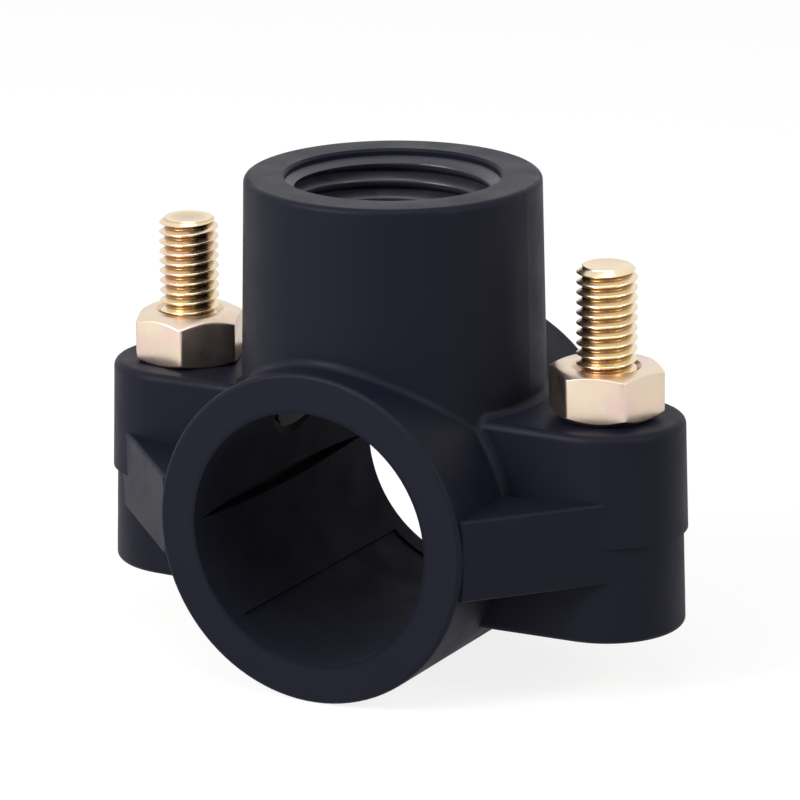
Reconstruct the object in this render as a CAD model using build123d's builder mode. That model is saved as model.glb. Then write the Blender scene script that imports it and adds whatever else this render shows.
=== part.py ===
from build123d import *
import math
import os

os.makedirs("parts", exist_ok=True)

# Millimetres. The origin is on the pipe axis under the outlet, Y runs along the pipe, Z up the outlet.

# Pipe sleeve, split on the plane through the pipe axis: bore, wall, and how far each end runs
# past the foot of the socket
PIPE_R = 12.6
SLEEVE_WALL = 3.85
SLEEVE_OVER = 2.775
RING_ROUND = 0.45

# Seal seat, which stays inside the bore's width, the rubber ring in it, and the tapping hole
# inside the ring
SEAT_INSET = 0.85
SEAT_DEPTH = 2.5
SEAL_CLEAR = 0.3
SEAL_SET_BACK = 0.15
SEAL_WIDTH = 3.25
PASSAGE_INSET = 0.6

# Outlet socket. Its bore stands at the roots of a female half-inch pipe thread, whose ridge
# is not in the solid.
LEDGE = 1.4
THREAD_DEEP = 15.75
THREAD_R = 10.5
SOCKET_WALL = 4.0
SOCKET_DRAFT = 1.2
SOCKET_ROUND = 0.6
SADDLE_FILLET = 0.8
MOUTH_CHAMFER = 0.25

# Bolting ears: the upper ones overhang the lower by a small step at the parting plane
UPPER_EAR_Z = 11.0
UPPER_ROOT_IN = 0.32
LOWER_EAR_Z = 9.7
LOWER_EAR_R = 7.5
LOWER_ROOT_OUT = 0.5
EAR_STEP = 0.42
EAR_DRAFT = 1.45
EAR_ROUND = 0.8
LOWER_EAR_ROUND = 0.6

# Diamond flange either side of the parting plane: set-back of its corners from the sleeve's
# ends, how far inside the lower ear's round its sides end, and thickness at the sleeve and
# at the bolt for each half
FLANGE_SET_BACK = 0.7
FLANGE_INSET = 0.05
FLANGE_OVER = (4.0, 4.6)
FLANGE_UNDER = (4.05, 3.55)
FLANGE_ROUND = 0.35

# Relief along the inner edges of the parting plane, and a shallow one in the floor
GAP_END_WALL = 1.0
GAP_RISE = 0.75
GAP_DEPTH = 1.7
FLOOR_DEEP = 0.25
FLOOR_END_WALL = 2.2
FLOOR_ANGLE = 42.3

# M6 hexagon bolts and nuts
BOLT_R = 2.95
HOLE_CLEAR = 0.35
THREAD_CLEAR = 0.05
HEAD_TOP_Z = -4.35
HEAD_K = 4.0
HEAD_AF = 9.85
POCKET_CLEAR = 0.2
RIGHT_LENGTH = 30.3
LEFT_LENGTH = 29.75
END_CHAMFER = 0.6
NUT_AF = 10.0
NUT_M = 5.0
NUT_SINK = 0.4
NUT_TO_SOCKET = 2.425
RIGHT_NUT_TURN = 13.5
LEFT_NUT_TURN = 50.0

# Turned-off corners: share of a face's width that stays flat, and slope. A nut has one deep
# side and one shallow side, and the left nut is on the other way up.
DEEP_SHARE = 0.842
DEEP_SLOPE = 30.0
SHALLOW_SHARE = 0.97
SHALLOW_SLOPE = 22.0

# What follows from them
PIPE_LINE = (90, 0, 0)
SLEEVE_R = PIPE_R + SLEEVE_WALL
SEAT_R = PIPE_R - SEAT_INSET
SEAT_ROOF_R = PIPE_R + SEAT_DEPTH
SEAL_OUT_R = SEAT_R - SEAL_CLEAR
SEAL_IN_R = SEAL_OUT_R - SEAL_WIDTH
PASSAGE_R = SEAL_IN_R - PASSAGE_INSET
THREAD_FOOT_Z = SEAT_ROOF_R + LEDGE
SOCKET_TOP_Z = THREAD_FOOT_Z + THREAD_DEEP
SOCKET_TOP_R = THREAD_R + SOCKET_WALL
UPPER_EAR_R = LOWER_EAR_R + EAR_STEP
UPPER_EAR_ROOT = UPPER_EAR_R - UPPER_ROOT_IN
LOWER_EAR_ROOT = LOWER_EAR_R + LOWER_ROOT_OUT
HOLE_R = BOLT_R + HOLE_CLEAR
NUT_BORE_R = BOLT_R + THREAD_CLEAR


def socket_r(z):
    """Outer radius of the drafted socket at height z."""
    return SOCKET_TOP_R + (SOCKET_TOP_Z - z) * math.tan(math.radians(SOCKET_DRAFT))


# The sleeve outreaches the socket, and a nut's corners turn clear of its wall
SLEEVE_HALF = socket_r(SLEEVE_R) + SLEEVE_OVER
BOLT_X = socket_r(UPPER_EAR_Z) + NUT_AF / math.sqrt(3) + NUT_TO_SOCKET
FLANGE_CORNER = (SLEEVE_R, SLEEVE_HALF - FLANGE_SET_BACK)
FLANGE_REACH = LOWER_EAR_R - FLANGE_INSET


def tangent_point():
    """Where a line from the flange corner just reaches the circle of FLANGE_REACH round a bolt."""
    dx, dy = FLANGE_CORNER[0] - BOLT_X, FLANGE_CORNER[1]
    turn = math.acos(FLANGE_REACH / math.hypot(dx, dy))
    angle = math.atan2(dy, dx) - turn
    return BOLT_X + FLANGE_REACH * math.cos(angle), FLANGE_REACH * math.sin(angle)


def along(edge, test):
    """True if five points of an edge all pass the test."""
    return all(test(edge @ t) for t in (0.05, 0.3, 0.5, 0.7, 0.95))


def on_socket(p):
    return abs(math.hypot(p.X, p.Y) - socket_r(p.Z)) < 0.02


def on_sleeve(p):
    return abs(math.hypot(p.X, p.Z) - SLEEVE_R) < 0.02


def on_flange_side(p):
    """True for points over the slanting sides of the flange, between sleeve and ear."""
    cx, cy = FLANGE_CORNER
    across = (abs(p.X) - cx) * (TY - cy) - (abs(p.Y) - cy) * (TX - cx)
    return abs(across) < 0.02 and cx + 0.01 < abs(p.X) < TX - 0.01


TX, TY = tangent_point()

# The flange's outline in plan
with BuildPart() as flange_plan:
    with BuildSketch(Plane.XY):
        with BuildLine():
            Polyline(
                (0, FLANGE_CORNER[1]), FLANGE_CORNER, (TX, TY), (TX, -TY),
                (FLANGE_CORNER[0], -FLANGE_CORNER[1]), (0, -FLANGE_CORNER[1]),
                close=True,
            )
        make_face()
        mirror(about=Plane.YZ)
    extrude(amount=SLEEVE_R, both=True)

# The same outline between the parting plane and each sloping face
with BuildPart() as flange_over:
    with BuildSketch(Plane.XZ):
        with BuildLine():
            Polyline(
                (0, 0), (TX, 0), (TX, FLANGE_OVER[1]), (SLEEVE_R, FLANGE_OVER[0]),
                (0, FLANGE_OVER[0]), close=True,
            )
        make_face()
        mirror(about=Plane.YZ)
    extrude(amount=SLEEVE_HALF, both=True)
    add(flange_plan.part, mode=Mode.INTERSECT)
    over_rim = [
        e
        for e in flange_over.edges()
        if along(e, lambda p: p.Z > 0.01 and on_flange_side(p))
        and abs((e % 0.5).Z) < 0.7
    ]
    fillet(over_rim, FLANGE_ROUND)

with BuildPart() as flange_under:
    with BuildSketch(Plane.XZ):
        with BuildLine():
            Polyline(
                (0, 0), (TX, 0), (TX, -FLANGE_UNDER[1]), (SLEEVE_R, -FLANGE_UNDER[0]),
                (0, -FLANGE_UNDER[0]), close=True,
            )
        make_face()
        mirror(about=Plane.YZ)
    extrude(amount=SLEEVE_HALF, both=True)
    add(flange_plan.part, mode=Mode.INTERSECT)
    under_rim = [
        e
        for e in flange_under.edges()
        if along(e, lambda p: p.Z < -0.01 and on_flange_side(p))
        and abs((e % 0.5).Z) < 0.7
    ]
    fillet(under_rim, FLANGE_ROUND)

# Upper ears, drafted towards the top, with a rounded upper rim
with BuildPart() as upper_ears:
    with BuildSketch(Plane.XY):
        with Locations((BOLT_X, 0)):
            Circle(UPPER_EAR_R)
        with Locations((SLEEVE_R / 2, 0)):
            Rectangle(1, 2 * UPPER_EAR_ROOT)
        make_hull()
    extrude(amount=UPPER_EAR_Z, taper=EAR_DRAFT)
    ear_rim = upper_ears.faces().sort_by(Axis.Z)[-1].edges().sort_by(Axis.X)[1:]
    fillet(ear_rim, EAR_ROUND)
    mirror(about=Plane.YZ)

# Lower ears, drafted the other way
with BuildPart() as lower_ears:
    with BuildSketch(Plane.XY):
        with Locations((BOLT_X, 0)):
            Circle(LOWER_EAR_R)
        with Locations((SLEEVE_R / 2, 0)):
            Rectangle(1, 2 * LOWER_EAR_ROOT)
        make_hull()
    extrude(amount=-LOWER_EAR_Z, taper=-EAR_DRAFT)
    foot_rim = lower_ears.faces().sort_by(Axis.Z)[0].edges().sort_by(Axis.X)[1:]
    fillet(foot_rim, LOWER_EAR_ROUND)
    mirror(about=Plane.YZ)

# The drafted socket with the ears growing out of it, coved all round the corner
with BuildPart() as socket_and_ears:
    with Locations((0, 0, SOCKET_TOP_Z / 2)):
        Cone(socket_r(0), SOCKET_TOP_R, SOCKET_TOP_Z)
    add(upper_ears.part)
    ear_line = [
        e
        for e in socket_and_ears.edges()
        if along(e, lambda p: on_socket(p) and 0.05 < p.Z < UPPER_EAR_Z + 0.2)
    ]
    fillet(ear_line, SADDLE_FILLET)

# A lens-shaped slot down each side of the bore, cut from both halves
with BuildPart() as gap_lens:
    with BuildSketch(Plane.YZ.offset(PIPE_R - GAP_DEPTH)):
        with BuildLine():
            gap_half = SLEEVE_HALF - GAP_END_WALL
            ThreePointArc((-gap_half, 0), (0, GAP_RISE), (gap_half, 0))
            ThreePointArc((gap_half, 0), (0, -GAP_RISE), (-gap_half, 0))
        make_face()
    extrude(amount=2 * GAP_DEPTH)
    mirror(about=Plane.YZ)

# The seat that the seal lies in: a round pocket whose roof follows the pipe
with BuildPart() as seat_cut:
    with BuildSketch(Plane.XY):
        Circle(SEAT_R)
    extrude(amount=SEAT_ROOF_R)
    Cylinder(SEAT_ROOF_R, 2 * SLEEVE_HALF, rotation=PIPE_LINE, mode=Mode.INTERSECT)

with BuildPart() as upper_saddle:
    with BuildSketch(Plane.XZ):
        Circle(SLEEVE_R)
        with Locations((0, -SLEEVE_R)):
            Rectangle(2 * SLEEVE_R, 2 * SLEEVE_R, mode=Mode.SUBTRACT)
    extrude(amount=SLEEVE_HALF, both=True)
    add(socket_and_ears.part)
    saddle_line = [
        e
        for e in upper_saddle.edges()
        if along(e, lambda p: on_socket(p) and on_sleeve(p))
    ]
    fillet(saddle_line, SADDLE_FILLET)
    ring_ends = [
        e
        for e in upper_saddle.edges()
        if along(e, lambda p: on_sleeve(p) and abs(p.Y) > SLEEVE_HALF - 0.01)
    ]
    fillet(ring_ends, RING_ROUND)
    socket_rim = [
        e
        for e in upper_saddle.edges()
        if along(e, lambda p: on_socket(p) and p.Z > SOCKET_TOP_Z - 0.01)
    ]
    fillet(socket_rim, SOCKET_ROUND)
    add(flange_over.part)
    # bore, seal seat, tapping hole and thread bore
    Cylinder(PIPE_R, 2 * SLEEVE_HALF, rotation=PIPE_LINE, mode=Mode.SUBTRACT)
    add(seat_cut.part, mode=Mode.SUBTRACT)
    with BuildSketch(Plane.XY):
        Circle(PASSAGE_R)
    extrude(amount=SOCKET_TOP_Z, mode=Mode.SUBTRACT)
    with BuildSketch(Plane.XY.offset(THREAD_FOOT_Z)):
        Circle(THREAD_R)
    extrude(amount=SOCKET_TOP_Z - THREAD_FOOT_Z, mode=Mode.SUBTRACT)
    with Locations((0, 0, SOCKET_TOP_Z - MOUTH_CHAMFER / 2)):
        Cone(THREAD_R, THREAD_R + MOUTH_CHAMFER, MOUTH_CHAMFER, mode=Mode.SUBTRACT)
    # bolt holes
    with BuildSketch(Plane.XY):
        with Locations((BOLT_X, 0), (-BOLT_X, 0)):
            Circle(HOLE_R)
    extrude(amount=UPPER_EAR_Z, mode=Mode.SUBTRACT)
    add(gap_lens.part, mode=Mode.SUBTRACT)

with BuildPart() as lower_saddle:
    with BuildSketch(Plane.XZ):
        Circle(SLEEVE_R)
        with Locations((0, SLEEVE_R)):
            Rectangle(2 * SLEEVE_R, 2 * SLEEVE_R, mode=Mode.SUBTRACT)
    extrude(amount=SLEEVE_HALF, both=True)
    lower_ring_ends = [
        e
        for e in lower_saddle.edges()
        if along(e, lambda p: on_sleeve(p) and abs(p.Y) > SLEEVE_HALF - 0.01)
    ]
    fillet(lower_ring_ends, RING_ROUND)
    add(lower_ears.part)
    add(flange_under.part)
    Cylinder(PIPE_R, 2 * SLEEVE_HALF, rotation=PIPE_LINE, mode=Mode.SUBTRACT)
    # shallow relief in the floor of the bore
    with BuildSketch(Plane.XZ):
        Circle(PIPE_R + FLOOR_DEEP)
        Circle(PIPE_R - FLOOR_DEEP, mode=Mode.SUBTRACT)
        with BuildLine():
            reach = 2 * PIPE_R
            side = math.radians(90 - FLOOR_ANGLE)
            Polyline(
                (0, 0), (reach * math.cos(side), -reach * math.sin(side)),
                (0, -3 * PIPE_R), (-reach * math.cos(side), -reach * math.sin(side)),
                close=True,
            )
        make_face(mode=Mode.INTERSECT)
    extrude(amount=SLEEVE_HALF - FLOOR_END_WALL, both=True, mode=Mode.SUBTRACT)
    # bolt holes and the hexagon pockets that hold the heads
    with BuildSketch(Plane.XY):
        with Locations((BOLT_X, 0), (-BOLT_X, 0)):
            Circle(HOLE_R)
    extrude(amount=-LOWER_EAR_Z, mode=Mode.SUBTRACT)
    with BuildSketch(Plane.XY.offset(HEAD_TOP_Z)):
        with Locations((BOLT_X, 0), (-BOLT_X, 0)):
            RegularPolygon(HEAD_AF / 2 + POCKET_CLEAR, 6, major_radius=False)
    extrude(amount=-LOWER_EAR_Z, mode=Mode.SUBTRACT)
    add(gap_lens.part, mode=Mode.SUBTRACT)

with BuildPart() as seal_ring:
    with BuildSketch(Plane.XY):
        Circle(SEAL_OUT_R)
        Circle(SEAL_IN_R, mode=Mode.SUBTRACT)
    extrude(amount=SEAT_ROOF_R)
    Cylinder(
        SEAT_ROOF_R - SEAL_CLEAR, 2 * SLEEVE_HALF, rotation=PIPE_LINE, mode=Mode.INTERSECT
    )
    Cylinder(
        PIPE_R + SEAL_SET_BACK, 2 * SLEEVE_HALF, rotation=PIPE_LINE, mode=Mode.SUBTRACT
    )

# A nut's corners, turned off deep below and shallow above
with BuildPart() as nut_turning:
    with BuildSketch(Plane.XZ):
        with BuildLine():
            full = 0.6 * NUT_AF
            deep, shallow = DEEP_SHARE * NUT_AF / 2, SHALLOW_SHARE * NUT_AF / 2
            deep_drop = (full - deep) * math.tan(math.radians(DEEP_SLOPE))
            shallow_drop = (full - shallow) * math.tan(math.radians(SHALLOW_SLOPE))
            Polyline(
                (0, 0), (deep, 0), (full, deep_drop), (full, NUT_M - shallow_drop),
                (shallow, NUT_M), (0, NUT_M), close=True,
            )
        make_face()
    revolve(axis=Axis.Z)

with BuildPart() as nut_right:
    with Locations((BOLT_X, 0, UPPER_EAR_Z)):
        add(nut_turning.part)
    with BuildSketch(Plane.XY.offset(UPPER_EAR_Z)):
        with Locations((BOLT_X, 0)):
            RegularPolygon(NUT_AF / 2, 6, major_radius=False, rotation=RIGHT_NUT_TURN)
    extrude(amount=NUT_M, mode=Mode.INTERSECT)
    with BuildSketch(Plane.XY.offset(UPPER_EAR_Z)):
        with Locations((BOLT_X, 0)):
            Circle(NUT_BORE_R)
    extrude(amount=NUT_M, mode=Mode.SUBTRACT)
    chamfer(
        [
            e
            for e in nut_right.edges().filter_by(GeomType.CIRCLE)
            if abs(e.radius - NUT_BORE_R) < 0.01
        ],
        NUT_SINK,
    )

with BuildPart() as nut_left:
    with Locations((-BOLT_X, 0, UPPER_EAR_Z + NUT_M)):
        add(nut_turning.part, rotation=(180, 0, 0))
    with BuildSketch(Plane.XY.offset(UPPER_EAR_Z)):
        with Locations((-BOLT_X, 0)):
            RegularPolygon(NUT_AF / 2, 6, major_radius=False, rotation=LEFT_NUT_TURN)
    extrude(amount=NUT_M, mode=Mode.INTERSECT)
    with BuildSketch(Plane.XY.offset(UPPER_EAR_Z)):
        with Locations((-BOLT_X, 0)):
            Circle(NUT_BORE_R)
    extrude(amount=NUT_M, mode=Mode.SUBTRACT)
    chamfer(
        [
            e
            for e in nut_left.edges().filter_by(GeomType.CIRCLE)
            if abs(e.radius - NUT_BORE_R) < 0.01
        ],
        NUT_SINK,
    )

# Head of a bolt, chamfered round its free face only
with BuildPart() as head_turning:
    with BuildSketch(Plane.XZ):
        with BuildLine():
            head_face, head_full = SHALLOW_SHARE * HEAD_AF / 2, 0.6 * HEAD_AF
            head_drop = (head_full - head_face) * math.tan(math.radians(DEEP_SLOPE))
            Polyline(
                (0, 0), (head_full, 0), (head_full, -HEAD_K + head_drop),
                (head_face, -HEAD_K), (0, -HEAD_K), close=True,
            )
        make_face()
    revolve(axis=Axis.Z)
    with BuildSketch(Plane.XY):
        RegularPolygon(HEAD_AF / 2, 6, major_radius=False)
    extrude(amount=-HEAD_K, mode=Mode.INTERSECT)

with BuildPart() as bolt_right:
    with Locations((BOLT_X, 0, HEAD_TOP_Z)):
        add(head_turning.part)
    with BuildSketch(Plane.XY.offset(HEAD_TOP_Z)):
        with Locations((BOLT_X, 0)):
            Circle(BOLT_R)
    extrude(amount=RIGHT_LENGTH)
    chamfer(bolt_right.edges().sort_by(Axis.Z)[-1], END_CHAMFER)

with BuildPart() as bolt_left:
    with Locations((-BOLT_X, 0, HEAD_TOP_Z)):
        add(head_turning.part)
    with BuildSketch(Plane.XY.offset(HEAD_TOP_Z)):
        with Locations((-BOLT_X, 0)):
            Circle(BOLT_R)
    extrude(amount=LEFT_LENGTH)
    chamfer(bolt_left.edges().sort_by(Axis.Z)[-1], END_CHAMFER)

upper_saddle.part.label = "upper_saddle"
lower_saddle.part.label = "lower_saddle"
seal_ring.part.label = "seal_ring"
nut_left.part.label = "nut_left"
nut_right.part.label = "nut_right"
bolt_left.part.label = "bolt_left"
bolt_right.part.label = "bolt_right"
export_step(upper_saddle.part, "parts/upper_saddle.step")
export_step(lower_saddle.part, "parts/lower_saddle.step")
export_step(seal_ring.part, "parts/seal_ring.step")
export_step(nut_left.part, "parts/nut_left.step")
export_step(nut_right.part, "parts/nut_right.step")
export_step(bolt_left.part, "parts/bolt_left.step")
export_step(bolt_right.part, "parts/bolt_right.step")
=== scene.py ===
import math
import bpy
from mathutils import Matrix, Vector


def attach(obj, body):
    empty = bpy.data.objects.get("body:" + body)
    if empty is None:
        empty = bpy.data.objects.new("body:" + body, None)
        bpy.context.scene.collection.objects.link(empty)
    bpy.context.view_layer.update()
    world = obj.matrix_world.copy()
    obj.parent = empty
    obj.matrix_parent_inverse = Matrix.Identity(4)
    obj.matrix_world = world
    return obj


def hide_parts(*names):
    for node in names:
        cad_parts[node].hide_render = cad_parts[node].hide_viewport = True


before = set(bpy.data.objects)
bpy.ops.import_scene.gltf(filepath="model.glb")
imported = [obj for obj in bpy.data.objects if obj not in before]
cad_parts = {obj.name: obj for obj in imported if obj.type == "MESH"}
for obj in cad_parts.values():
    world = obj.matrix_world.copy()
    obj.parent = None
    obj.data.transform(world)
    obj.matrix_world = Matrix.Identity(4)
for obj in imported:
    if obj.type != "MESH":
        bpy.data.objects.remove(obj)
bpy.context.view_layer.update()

MM = 0.001
TURN = 2 * math.pi

# camera at the photograph's place, fitted to the saddle's own edges
CAMERA_AZIMUTH = 28.551
CAMERA_ELEVATION = 16.142
CAMERA_ROLL = -0.408
CAMERA_AWAY = 532.909
CAMERA_ASIDE = 0.524
CAMERA_RAISED = 9.087
SENSOR = 36.0
LENS = 243.565

# bolts and nuts, in millimetres
BOLT_X = 23.1384
CREST_R = 2.95
PITCH = 1.0
THREAD_STEPS = 48
BOLT_FOOT_Z = -4.6
RIGHT_END_Z = 25.95
LEFT_END_Z = 25.4
RIGHT_CREST_Z = 0.671
LEFT_CREST_Z = 0.301
BOLT_END_R = 2.33
HEAD_AF = 9.85
HEAD_LOW_Z = -8.35
HEAD_TOP_Z = -4.35
DEEP_SHARE = 0.842
DEEP_SLOPE = 30.0
SHALLOW_SHARE = 0.97
SHALLOW_SLOPE = 22.0
NUT_AF = 10.0
NUT_LOW_Z = 11.0
NUT_TOP_Z = 16.0
RIGHT_NUT_TURN = 13.5
LEFT_NUT_TURN = 50.0
HEX_START = 30.0
EDGE_ROUND = 0.28
NUT_SOFT = 0.15
SHOULDER = 0.1
SINK_R = 3.4
NUT_BORE_R = 2.55

# thread of the outlet, half-inch pipe thread
OUTLET_PITCH = 1.814
OUTLET_CREST_R = 9.4
OUTLET_ROOT_R = 10.6
OUTLET_CREST_Z = 31.0
OUTLET_CREST_TURN = 118.55
OUTLET_LOW_Z = 16.9
OUTLET_TOP_Z = 31.7
OUTLET_STEPS = 64

# where the finish of the plastic changes: the wall of the bore, and the rim
BORE_FINISH_R = (12.9, 13.0)
RIM_FINISH_Z = (32.0, 32.2)

FLOOR_Z = -16.46
FLOOR_SIZE = 6.0

# two lamps at the camera's sides
LAMP_AWAY = .6
LAMP_ELEVATION = 31.0
LAMP_AIM = (0, 0, .01)

# dark flag before the camera, in metres
FLAG_AWAY = .4
FLAG_WIDE = .13
FLAG_HIGH = .22
FLAG_MID = .12


def linear(code):
    """The linear colour of an sRGB hex value."""
    parts = [int(code[i:i + 2], 16) / 255 for i in (1, 3, 5)]
    return [c / 12.92 if c <= 0.04045 else ((c + 0.055) / 1.055) ** 2.4 for c in parts] + [1.0]


def add(tree, kind, settings, links):
    """Adds one node with its settings and input values, and links each named input to a socket."""
    made = tree.nodes.new(kind)
    for name, value in settings.items():
        if isinstance(name, str) and hasattr(made, name):
            setattr(made, name, value)
        else:
            made.inputs[name].default_value = value
    for name, source in links.items():
        tree.links.new(source, made.inputs[name])
    return made


def direct_rays(tree):
    """The light path node, and a socket that is 1 for camera, glossy and transmission rays."""
    rays = add(tree, "ShaderNodeLightPath", {}, {})
    seen = rays.outputs["Is Camera Ray"]
    for kind in ("Is Glossy Ray", "Is Transmission Ray"):
        larger = add(tree, "ShaderNodeMath", {"operation": "MAXIMUM"}, {0: seen, 1: rays.outputs[kind]})
        seen = larger.outputs[0]
    return rays, seen


def blank_material(name):
    """A material with nothing in it but its output, and its node tree."""
    material = bpy.data.materials.new(name)
    material.use_nodes = True
    material.node_tree.nodes.clear()
    return material, material.node_tree


def bare():
    """Leaves nothing selected, so that an operator acts on the new piece alone."""
    bpy.ops.object.select_all(action="DESELECT")


def edit():
    bpy.ops.object.mode_set(mode="EDIT")


def done():
    bpy.ops.object.mode_set(mode="OBJECT")


def pick(piece, wanted, kind="VERT"):
    """Selects the vertices, edges or faces whose middle passes the test, given in millimetres."""
    edit()
    bpy.ops.mesh.select_mode(type=kind)
    bpy.ops.mesh.select_all(action="DESELECT")
    done()
    mesh = piece.data
    for part in {"VERT": mesh.vertices, "EDGE": mesh.edges, "FACE": mesh.polygons}[kind]:
        if kind == "VERT":
            middle = part.co
        elif kind == "FACE":
            middle = part.center
        else:
            middle = (mesh.vertices[part.vertices[0]].co + mesh.vertices[part.vertices[1]].co) / 2
        part.select = wanted(middle / MM)
    edit()


def settle(piece):
    """Puts the piece's place into its mesh and leaves its object at the origin."""
    bare()
    piece.select_set(True)
    bpy.context.view_layer.objects.active = piece
    bpy.ops.object.transform_apply(location=True, rotation=True, scale=True)


def line(name, points):
    """A line drawn by extruding one vertex from point to point, in millimetres."""
    bare()
    bpy.ops.mesh.primitive_plane_add(size=2 * MM)
    drawn = bpy.context.object
    drawn.name = name
    edit()
    bpy.ops.mesh.select_mode(type="VERT")
    bpy.ops.mesh.select_all(action="SELECT")
    bpy.ops.mesh.merge(type="CENTER")
    bpy.ops.transform.translate(value=[c * MM for c in points[0]])
    for here, there in zip(points, points[1:]):
        step = [(b - a) * MM for a, b in zip(here, there)]
        bpy.ops.mesh.extrude_region_move(TRANSFORM_OT_translate={"value": step})
    done()
    return drawn


def apply(piece, modifier):
    bare()
    piece.select_set(True)
    bpy.context.view_layer.objects.active = piece
    bpy.ops.object.modifier_apply(modifier=modifier.name)


def wind(piece, rise, turns, steps):
    """Turns a drawn line about Z, rising by so many millimetres a turn, and joins what meets."""
    screw = piece.modifiers.new("wind", "SCREW")
    screw.axis = "Z"
    screw.angle = TURN
    screw.screw_offset = rise * MM
    screw.iterations = turns
    screw.steps = steps
    screw.render_steps = steps
    apply(piece, screw)
    edit()
    bpy.ops.mesh.select_all(action="SELECT")
    bpy.ops.mesh.remove_doubles(threshold=0.002 * MM)
    bpy.ops.mesh.normals_make_consistent(inside=False)
    done()


def cut_off(piece, z, above):
    """Cuts the piece level at z and closes it, dropping what lies above or below."""
    bare()
    piece.select_set(True)
    bpy.context.view_layer.objects.active = piece
    edit()
    bpy.ops.mesh.select_all(action="SELECT")
    bpy.ops.mesh.bisect(
        plane_co=(0, 0, z * MM), plane_no=(0, 0, 1), use_fill=True,
        clear_outer=above, clear_inner=not above, threshold=1e-7,
    )
    done()


def carve(piece, tool, way):
    """Cuts, joins or keeps the common part of a piece and a tool, then removes the tool."""
    work = piece.modifiers.new("carve", "BOOLEAN")
    work.operation = way
    work.solver = "EXACT"
    work.object = tool
    apply(piece, work)
    bpy.data.objects.remove(tool)


def lathe(name, profile, steps=96):
    """A closed turned solid from a half profile of radius and height, in millimetres."""
    turned = line(name, [(r, 0, z) for r, z in profile])
    wind(turned, 0, 1, steps)
    return turned


def soften(piece, width, segments, angle):
    """Rounds the edges that are sharper than the angle."""
    bevel = piece.modifiers.new("edge round", "BEVEL")
    bevel.width = width * MM
    bevel.segments = segments
    bevel.limit_method = "ANGLE"
    bevel.angle_limit = math.radians(angle)
    apply(piece, bevel)


def shade(piece, angle=35):
    bare()
    piece.select_set(True)
    bpy.context.view_layer.objects.active = piece
    bpy.ops.object.shade_smooth_by_angle(angle=math.radians(angle))


def threaded_rod(name, crest_z, low_z, top_z):
    """An M6 screw thread about Z; on its +X side a crest lies whole turns away from crest_z."""
    half = [
        (2.36, 0), (2.366, .05), (2.385, .095), (2.42, .13), (2.48, .17),
        (2.86, .40), (2.9, .427), (2.93, .455), (CREST_R, .5),
    ]
    start = math.floor(low_z) - 2 + crest_z - 0.5
    up = [(r, 0, start + z * PITCH) for r, z in half]
    down = [(r, 0, start + (1 - z) * PITCH) for r, z in reversed(half[:-1])]
    rod = line(name, up + down)
    wind(rod, PITCH, int(top_z - low_z) + 5, THREAD_STEPS)
    cut_off(rod, top_z, True)
    cut_off(rod, low_z, False)
    return rod


def hexagon(name, width, low_z, top_z, turn, low, top):
    """A hexagonal blank whose corners are turned off, each end by its share of the face and slope."""
    bare()
    bpy.ops.mesh.primitive_cylinder_add(
        vertices=6, radius=width / math.sqrt(3) * MM, depth=(top_z - low_z) * MM,
        location=(0, 0, (low_z + top_z) / 2 * MM), rotation=(0, 0, math.radians(turn - HEX_START)),
    )
    blank = bpy.context.object
    blank.name = name
    settle(blank)
    flat_r = width / 2
    pick(blank, lambda at: abs(at.z - (low_z + top_z) / 2) < .01 and at.to_2d().length > flat_r, "EDGE")
    bpy.ops.mesh.bevel(offset=EDGE_ROUND * MM, segments=3)
    done()
    corner_r = width / math.sqrt(3) + .5
    profile = []
    for z, away, (share, slope) in ((low_z, 1, low), (top_z, -1, top)):
        face_r = flat_r * share
        drop = (corner_r - face_r) * math.tan(math.radians(slope))
        corner = [(0, z), (face_r, z), (corner_r, z + away * drop)]
        profile += corner if away > 0 else corner[::-1]
    carve(blank, lathe("turning", profile), "INTERSECT")
    return blank


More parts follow.
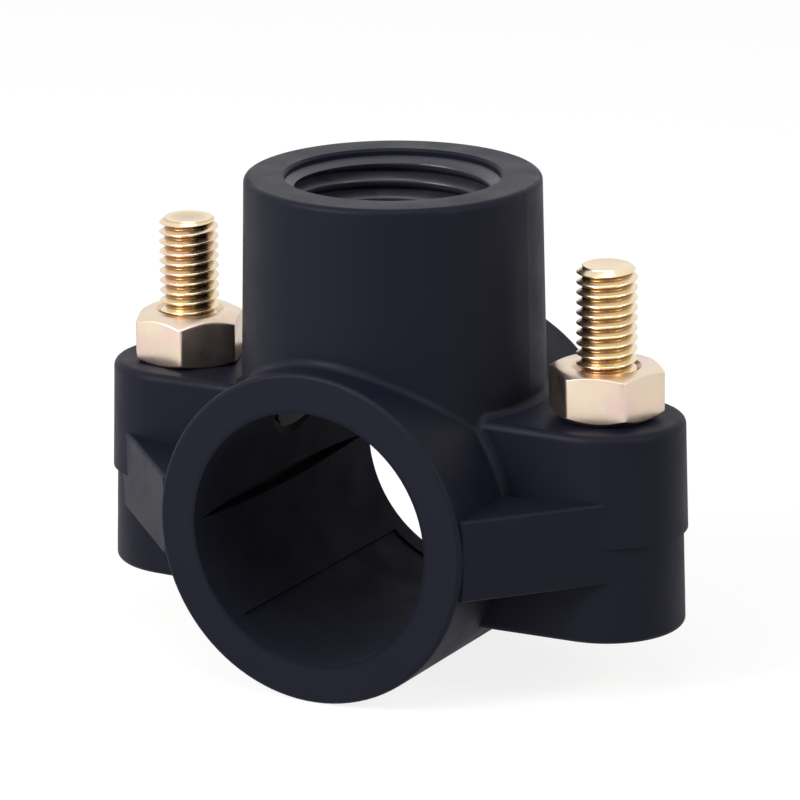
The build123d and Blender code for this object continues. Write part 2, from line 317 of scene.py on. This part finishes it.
# moulded black polypropylene: satin, with the faint unevenness of a spark-eroded mould and a cold sheen
def moulded_polypropylene():
    material, tree = blank_material("moulded_black_polypropylene")
    place = add(tree, "ShaderNodeTexCoord", {}, {}).outputs["Object"]
    cloud = add(tree, "ShaderNodeTexNoise", {"Scale": 90.0, "Detail": 3.0, "Roughness": .5}, {"Vector": place})
    grain = add(
        tree, "ShaderNodeTexNoise", {"Scale": 2600.0, "Detail": 2.0, "Roughness": .6}, {"Vector": place},
    )
    flow = add(tree, "ShaderNodeTexNoise", {"Scale": 240.0, "Detail": 4.0, "Roughness": .55}, {"Vector": place})
    colour = add(
        tree, "ShaderNodeMix", {"data_type": "RGBA", 6: linear("#11131f"), 7: linear("#171825")},
        {0: cloud.outputs["Fac"]},
    )
    rough = add(
        tree, "ShaderNodeMapRange", {"From Min": .3, "From Max": .7, "To Min": .44, "To Max": .56},
        {"Value": flow.outputs["Fac"]},
    )
    across = add(tree, "ShaderNodeVectorMath", {"operation": "MULTIPLY", 1: (1, 0, 1)}, {0: place})
    reach = add(tree, "ShaderNodeVectorMath", {"operation": "LENGTH"}, {0: across.outputs[0]})
    inside = add(
        tree, "ShaderNodeMapRange",
        {"From Min": BORE_FINISH_R[0] * MM, "From Max": BORE_FINISH_R[1] * MM, "To Min": .3, "To Max": 0.0},
        {"Value": reach.outputs["Value"]},
    )
    height = add(tree, "ShaderNodeSeparateXYZ", {}, {0: place})
    rim = add(
        tree, "ShaderNodeMapRange",
        {"From Min": RIM_FINISH_Z[0] * MM, "From Max": RIM_FINISH_Z[1] * MM, "To Min": 0.0, "To Max": -.06},
        {"Value": height.outputs["Z"]},
    )
    rough = add(tree, "ShaderNodeMath", {}, {0: rough.outputs["Result"], 1: inside.outputs["Result"]})
    rough = add(tree, "ShaderNodeMath", {}, {0: rough.outputs[0], 1: rim.outputs["Result"]})
    fine = add(tree, "ShaderNodeBump", {"Strength": .08, "Distance": .00003}, {"Height": grain.outputs["Fac"]})
    wide = add(
        tree, "ShaderNodeBump", {"Strength": .2, "Distance": .0001},
        {"Height": flow.outputs["Fac"], "Normal": fine.outputs["Normal"]},
    )
    body = add(
        tree, "ShaderNodeBsdfPrincipled", {"IOR": 1.49, "Specular IOR Level": .13},
        {"Base Color": colour.outputs[2], "Roughness": rough.outputs[0], "Normal": wide.outputs["Normal"]},
    )
    add(tree, "ShaderNodeOutputMaterial", {}, {"Surface": body.outputs["BSDF"]})
    return material


# the same plastic on the thread inside the outlet: glossier, as if moulded against the polished threaded core;
# its base is painted lighter and greyer than the body's, a painted light that makes the deep thread look lit,
# and its two tones vary with fine dust
def core_polished_painted_light_polypropylene():
    material, tree = blank_material("core_polished_painted_light_polypropylene")
    place = add(tree, "ShaderNodeTexCoord", {}, {}).outputs["Object"]
    dust = add(tree, "ShaderNodeTexNoise", {"Scale": 420.0, "Detail": 3.0}, {"Vector": place})
    # painted light: both tones are much lighter than the body plastic, standing in for light down in the thread
    colour = add(
        tree, "ShaderNodeMix", {"data_type": "RGBA", 6: linear("#2a2a34"), 7: linear("#3e3d48")},
        {0: dust.outputs["Fac"]},
    )
    rough = add(
        tree, "ShaderNodeMapRange", {"From Min": .3, "From Max": .7, "To Min": .26, "To Max": .38},
        {"Value": dust.outputs["Fac"]},
    )
    bump = add(tree, "ShaderNodeBump", {"Strength": .1, "Distance": .00006}, {"Height": dust.outputs["Fac"]})
    body = add(
        tree, "ShaderNodeBsdfPrincipled", {"IOR": 1.49, "Specular IOR Level": .45},
        {
            "Base Color": colour.outputs[2], "Roughness": rough.outputs["Result"],
            "Normal": bump.outputs["Normal"],
        },
    )
    add(tree, "ShaderNodeOutputMaterial", {}, {"Surface": body.outputs["BSDF"]})
    return material


# nitrile rubber: matt, slightly dusty black
def nitrile_rubber():
    material, tree = blank_material("moulded_nitrile_rubber")
    place = add(tree, "ShaderNodeTexCoord", {}, {}).outputs["Object"]
    dust = add(tree, "ShaderNodeTexNoise", {"Scale": 700.0, "Detail": 4.0}, {"Vector": place})
    colour = add(
        tree, "ShaderNodeMix", {"data_type": "RGBA", 6: linear("#121212"), 7: linear("#1b1b1a")},
        {0: dust.outputs["Fac"]},
    )
    bump = add(tree, "ShaderNodeBump", {"Strength": .2, "Distance": .00005}, {"Height": dust.outputs["Fac"]})
    body = add(
        tree, "ShaderNodeBsdfPrincipled", {"IOR": 1.52, "Roughness": .68},
        {"Base Color": colour.outputs[2], "Normal": bump.outputs["Normal"]},
    )
    add(tree, "ShaderNodeOutputMaterial", {}, {"Surface": body.outputs["BSDF"]})
    return material


# yellow zinc plated steel: bright gold film with rose and green clouds over cold-formed steel
def yellow_zinc(name, gold, rose, green, roughness, painted_root_shade=None):
    material, tree = blank_material(name)
    place = add(tree, "ShaderNodeTexCoord", {}, {}).outputs["Object"]
    film = add(tree, "ShaderNodeTexNoise", {"Scale": 260.0, "Detail": 2.0}, {"Vector": place})
    cloud = add(tree, "ShaderNodeTexNoise", {"Scale": 520.0, "Detail": 3.0}, {"Vector": place})
    speck = add(tree, "ShaderNodeTexNoise", {"Scale": 700.0, "Detail": 3.0}, {"Vector": place})
    rosy = add(
        tree, "ShaderNodeMapRange", {"From Min": .42, "From Max": .68, "To Min": 0.0, "To Max": 1.0},
        {"Value": film.outputs["Fac"]},
    )
    greenish = add(
        tree, "ShaderNodeMapRange", {"From Min": .5, "From Max": .72, "To Min": 0.0, "To Max": .8},
        {"Value": cloud.outputs["Fac"]},
    )
    first = add(
        tree, "ShaderNodeMix", {"data_type": "RGBA", 6: linear(gold), 7: linear(rose)},
        {0: rosy.outputs["Result"]},
    )
    second = add(
        tree, "ShaderNodeMix", {"data_type": "RGBA", 7: linear(green)},
        {0: greenish.outputs["Result"], 6: first.outputs[2]},
    )
    # painted shade: the colour is darkened down in the thread's roots, but not on the end faces or the head
    if painted_root_shade:
        split = add(tree, "ShaderNodeSeparateXYZ", {}, {0: place})
        aside = add(tree, "ShaderNodeMath", {"operation": "ABSOLUTE"}, {0: split.outputs["X"]})
        aside = add(tree, "ShaderNodeMath", {"operation": "SUBTRACT", 1: BOLT_X * MM}, {0: aside.outputs[0]})
        spoke = add(tree, "ShaderNodeCombineXYZ", {}, {0: aside.outputs[0], 1: split.outputs["Y"]})
        spoke = add(tree, "ShaderNodeVectorMath", {"operation": "LENGTH"}, {0: spoke.outputs[0]})
        deep = add(
            tree, "ShaderNodeMapRange", {"From Min": .00237, "From Max": .00256, "To Min": 1.0, "To Max": 0.0},
            {"Value": spoke.outputs["Value"]},
        )
        for start, end in ((RIGHT_END_Z - .6, RIGHT_END_Z - .7), (BOLT_FOOT_Z + .1, BOLT_FOOT_Z + .2)):
            stretch = add(
                tree, "ShaderNodeMapRange",
                {"From Min": start * MM, "From Max": end * MM, "To Min": 0.0, "To Max": 1.0},
                {"Value": split.outputs["Z"]},
            )
            deep = add(
                tree, "ShaderNodeMath", {"operation": "MULTIPLY"}, {0: deep.outputs[0], 1: stretch.outputs[0]},
            )
        second = add(
            tree, "ShaderNodeMix", {"data_type": "RGBA", 7: linear(painted_root_shade)},
            {0: deep.outputs[0], 6: second.outputs[2]},
        )
    rough = add(
        tree, "ShaderNodeMapRange",
        {"From Min": .3, "From Max": .7, "To Min": roughness - .03, "To Max": roughness + .05},
        {"Value": speck.outputs["Fac"]},
    )
    bump = add(tree, "ShaderNodeBump", {"Strength": .06, "Distance": .00004}, {"Height": speck.outputs["Fac"]})
    body = add(
        tree, "ShaderNodeBsdfPrincipled", {"Metallic": 1.0},
        {
            "Base Color": second.outputs[2], "Roughness": rough.outputs["Result"],
            "Normal": bump.outputs["Normal"],
        },
    )
    add(tree, "ShaderNodeOutputMaterial", {}, {"Surface": body.outputs["BSDF"]})
    return material


body_plastic = moulded_polypropylene()
core_plastic_painted_light = core_polished_painted_light_polypropylene()
seal_rubber = nitrile_rubber()
nut_plating = yellow_zinc("yellow_zinc_plated_nut", "#e9d5bd", "#e5c7be", "#e5ddc4", .3)
# the last colour, #9c774e, is the painted shade in the thread's roots
bolt_plating = yellow_zinc("yellow_zinc_rolled_thread", "#f0dcb8", "#ecccb8", "#eae3ba", .24, "#9c774e")

finishes = {"upper_saddle": body_plastic, "lower_saddle": body_plastic, "seal_ring": seal_rubber}
for name, finish in finishes.items():
    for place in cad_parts[name].material_slots:
        place.material = finish


def bolt(name, side, crest_z, end_z):
    """A hexagon-head M6 bolt with a rolled thread, its head in the pocket under the lower ear."""
    rod = threaded_rod(name, crest_z, BOLT_FOOT_Z, end_z - .001)
    wide = CREST_R + SHOULDER
    blank = lathe("point", [
        (0, BOLT_FOOT_Z - 1), (wide, BOLT_FOOT_Z - 1),
        (wide, end_z - (wide - BOLT_END_R)), (BOLT_END_R, end_z),
        (BOLT_END_R - .25, end_z + .0005), (BOLT_END_R - .6, end_z - .07), (0, end_z - .1),
    ])
    carve(rod, blank, "INTERSECT")
    head = hexagon("head", HEAD_AF, HEAD_LOW_Z, HEAD_TOP_Z, 0, (SHALLOW_SHARE, DEEP_SLOPE), (1.1, 1))
    carve(rod, head, "UNION")
    rod.location.x = side * BOLT_X * MM
    settle(rod)
    rod.data.materials.clear()
    rod.data.materials.append(bolt_plating)
    shade(rod, 30)
    return rod


def nut(name, side, turn, low, top):
    """An M6 nut with its corners turned off at both ends and a countersunk bore."""
    blank = hexagon(name, NUT_AF, NUT_LOW_Z, NUT_TOP_Z, turn, low, top)
    soften(blank, NUT_SOFT, 3, 28)
    sink = SINK_R - NUT_BORE_R
    bore = lathe("bore", [
        (0, NUT_LOW_Z - 1), (SINK_R + 1, NUT_LOW_Z - 1), (NUT_BORE_R, NUT_LOW_Z + sink),
        (NUT_BORE_R, NUT_TOP_Z - sink), (SINK_R + 1, NUT_TOP_Z + 1), (0, NUT_TOP_Z + 1),
    ])
    carve(blank, bore, "DIFFERENCE")
    blank.location.x = side * BOLT_X * MM
    settle(blank)
    blank.data.materials.clear()
    blank.data.materials.append(nut_plating)
    shade(blank, 30)
    return blank


bolt_right = bolt("bolt_right_threaded", 1, RIGHT_CREST_Z, RIGHT_END_Z)
bolt_left = bolt("bolt_left_threaded", -1, LEFT_CREST_Z, LEFT_END_Z)
deep, shallow = (DEEP_SHARE, DEEP_SLOPE), (SHALLOW_SHARE, SHALLOW_SLOPE)
nut_right = nut("nut_right_formed", 1, RIGHT_NUT_TURN, deep, shallow)
nut_left = nut("nut_left_formed", -1, LEFT_NUT_TURN, shallow, deep)

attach(bolt_right, "lower_half")
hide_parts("bolt_right")
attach(bolt_left, "lower_half")
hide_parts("bolt_left")
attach(nut_right, "right_nut")
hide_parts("nut_right")
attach(nut_left, "left_nut")
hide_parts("nut_left")


def outlet_ridge():
    """The moulded pipe thread inside the outlet, one rounded ridge wound up the wall."""
    crest = [
        (OUTLET_ROOT_R, -.88), (10.3, -.76), (9.88, -.50), (9.56, -.27), (9.43, -.13),
        (OUTLET_CREST_R, 0), (9.43, .13), (9.56, .27), (9.88, .50), (10.3, .76),
        (OUTLET_ROOT_R, .88),
    ]
    turns = int((OUTLET_TOP_Z - OUTLET_LOW_Z) / OUTLET_PITCH) + 4
    at_zero = OUTLET_CREST_Z - OUTLET_CREST_TURN / 360 * OUTLET_PITCH
    start = at_zero - (turns - 2) * OUTLET_PITCH
    ridge = line("outlet_thread", [(r, 0, start + z) for r, z in crest + crest[:1]])
    wind(ridge, OUTLET_PITCH, turns, OUTLET_STEPS)
    blank = lathe("mouth", [
        (0, OUTLET_LOW_Z), (9.3, OUTLET_LOW_Z), (OUTLET_ROOT_R + .2, OUTLET_LOW_Z + .9),
        (OUTLET_ROOT_R + .2, OUTLET_TOP_Z), (9.2, OUTLET_TOP_Z - .75), (0, OUTLET_TOP_Z - .75),
    ], 128)
    carve(ridge, blank, "INTERSECT")
    settle(ridge)
    ridge.data.materials.clear()
    # the thread gets the lighter copy of the plastic, its painted light
    ridge.data.materials.append(core_plastic_painted_light)
    shade(ridge, 40)
    return ridge


outlet_thread = outlet_ridge()
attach(outlet_thread, "upper_half")

# floor, white where the camera or a polished face looks at it, darker only under the saddle
bare()
bpy.ops.mesh.primitive_plane_add(size=FLOOR_SIZE, location=(0, 0, FLOOR_Z * MM))
floor = bpy.context.object
floor.name = "floor"
floor_white, tree = blank_material("matt_white_floor")
rays, seen = direct_rays(tree)
whiteness = add(
    tree, "ShaderNodeMapRange", {"To Min": .84, "To Max": .42}, {"Value": rays.outputs["Is Glossy Ray"]},
)
paper_white = add(
    tree, "ShaderNodeMix", {"data_type": "RGBA", 6: linear("#909090"), 7: linear("#cfcfcf")},
    {0: rays.outputs["Is Glossy Ray"]},
)
paper = add(tree, "ShaderNodeBsdfDiffuse", {}, {"Color": paper_white.outputs[2]})
shine = add(tree, "ShaderNodeEmission", {}, {"Strength": whiteness.outputs["Result"]})
both = add(tree, "ShaderNodeAddShader", {}, {0: paper.outputs[0], 1: shine.outputs[0]})
plain = add(tree, "ShaderNodeBsdfDiffuse", {"Color": linear("#c4c4c4")}, {})
cover = add(tree, "ShaderNodeMixShader", {}, {0: seen, 1: plain.outputs[0], 2: both.outputs[0]})
add(tree, "ShaderNodeOutputMaterial", {}, {"Surface": cover.outputs[0]})
floor.data.materials.append(floor_white)

# soft white room
world = bpy.data.worlds.new("studio")
bpy.context.scene.world = world
world.use_nodes = True
tree = world.node_tree
tree.nodes.clear()
rays, seen = direct_rays(tree)
strength = add(tree, "ShaderNodeMapRange", {"To Min": .21, "To Max": 1.0}, {"Value": seen})
sky = add(tree, "ShaderNodeBackground", {"Color": (1, 1, 1, 1)}, {"Strength": strength.outputs["Result"]})
add(tree, "ShaderNodeOutputWorld", {}, {"Surface": sky.outputs[0]})


def lamp(name, size, power, place, aim):
    """A soft square lamp, its place and aim in metres."""
    bare()
    bpy.ops.object.light_add(type="AREA", location=place)
    made = bpy.context.object
    made.name = name
    made.data.shape = "SQUARE"
    made.data.size = size
    made.data.energy = power
    made.rotation_euler = (Vector(aim) - Vector(place)).to_track_quat("-Z", "Y").to_euler()
    return made


lamp("lamp_over", .4, 1.0, (.12, -.24, .6), LAMP_AIM)
for name, side, size, power in (("lamp_left", -56, .28, 2.6), ("lamp_right", 56, .2, .8)):
    way = math.radians(CAMERA_AZIMUTH + side)
    reach, high = math.cos(math.radians(LAMP_ELEVATION)), math.sin(math.radians(LAMP_ELEVATION))
    heading = (math.sin(way) * reach, -math.cos(way) * reach, high)
    lamp(name, size, power, [LAMP_AWAY * c for c in heading], LAMP_AIM)

turn = math.radians(CAMERA_AZIMUTH)
tilt = math.radians(CAMERA_ELEVATION)
back = Vector((math.sin(turn) * math.cos(tilt), -math.cos(turn) * math.cos(tilt), math.sin(tilt)))
right = Vector((math.cos(turn), math.sin(turn), 0))
up = back.cross(right)
roll = math.radians(CAMERA_ROLL)
right_rolled = math.cos(roll) * right + math.sin(roll) * up
up_rolled = -math.sin(roll) * right + math.cos(roll) * up
eye = back * CAMERA_AWAY + right * CAMERA_ASIDE + up * CAMERA_RAISED
camera_data = bpy.data.cameras.new("camera")
camera = bpy.data.objects.new("camera", camera_data)
bpy.context.scene.collection.objects.link(camera)
camera_data.sensor_width = SENSOR
camera_data.lens = LENS
camera_data.clip_start = .01
camera_data.clip_end = 20
turned = Matrix((right_rolled, up_rolled, back)).transposed().to_4x4()
camera.matrix_world = Matrix.Translation(eye * MM) @ turned
bpy.context.scene.camera = camera

# low dark flag standing before the camera, unseen by it, which the metal shows as its darker middle
bare()
bpy.ops.mesh.primitive_plane_add(
    size=1, location=(math.sin(turn) * FLAG_AWAY, -math.cos(turn) * FLAG_AWAY, FLAG_MID),
    rotation=(math.radians(90), 0, turn),
)
flag = bpy.context.object
flag.name = "flag"
flag.scale = (FLAG_WIDE, FLAG_HIGH, 1)
flag_black, tree = blank_material("black_felt_flag")
felt = add(tree, "ShaderNodeBsdfDiffuse", {"Color": linear("#1c1c1e")}, {})
add(tree, "ShaderNodeOutputMaterial", {}, {"Surface": felt.outputs[0]})
flag.data.materials.append(flag_black)
flag.visible_camera = False

bpy.context.scene.view_settings.view_transform = "Standard"

bare()
